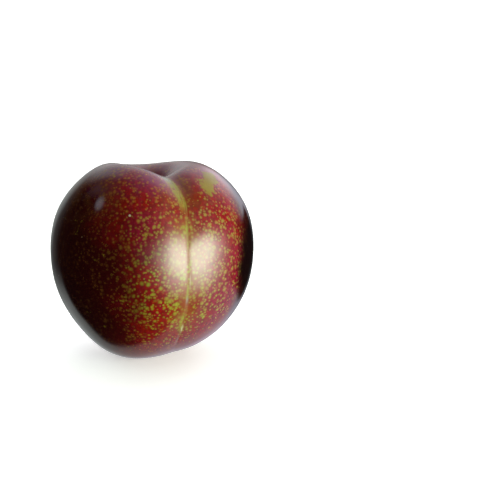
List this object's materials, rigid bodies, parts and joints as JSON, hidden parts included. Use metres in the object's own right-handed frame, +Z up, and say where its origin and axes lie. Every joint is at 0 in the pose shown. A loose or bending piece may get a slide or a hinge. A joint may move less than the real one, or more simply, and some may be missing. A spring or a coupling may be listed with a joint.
{
  "type": "plum",
  "caption": "Whole dark red plum, round with full shoulders, a stem pit and a suture groove down the front, resting on its underside.",
  "frame": {"origin": "middle of the flat spot the fruit rests on", "axes": "+Z up towards the stem pit, -Y towards the side with the suture, +X to the right when looking at the suture"},
  "size_m": [0.0581, 0.053, 0.0562],
  "materials": {
    "plum_skin": "smooth waxy fruit skin, dark crimson with fine yellow-green dots"
  },
  "bodies": {
    "root": {"plum": "plum_skin"}
  },
  "joints": []
}
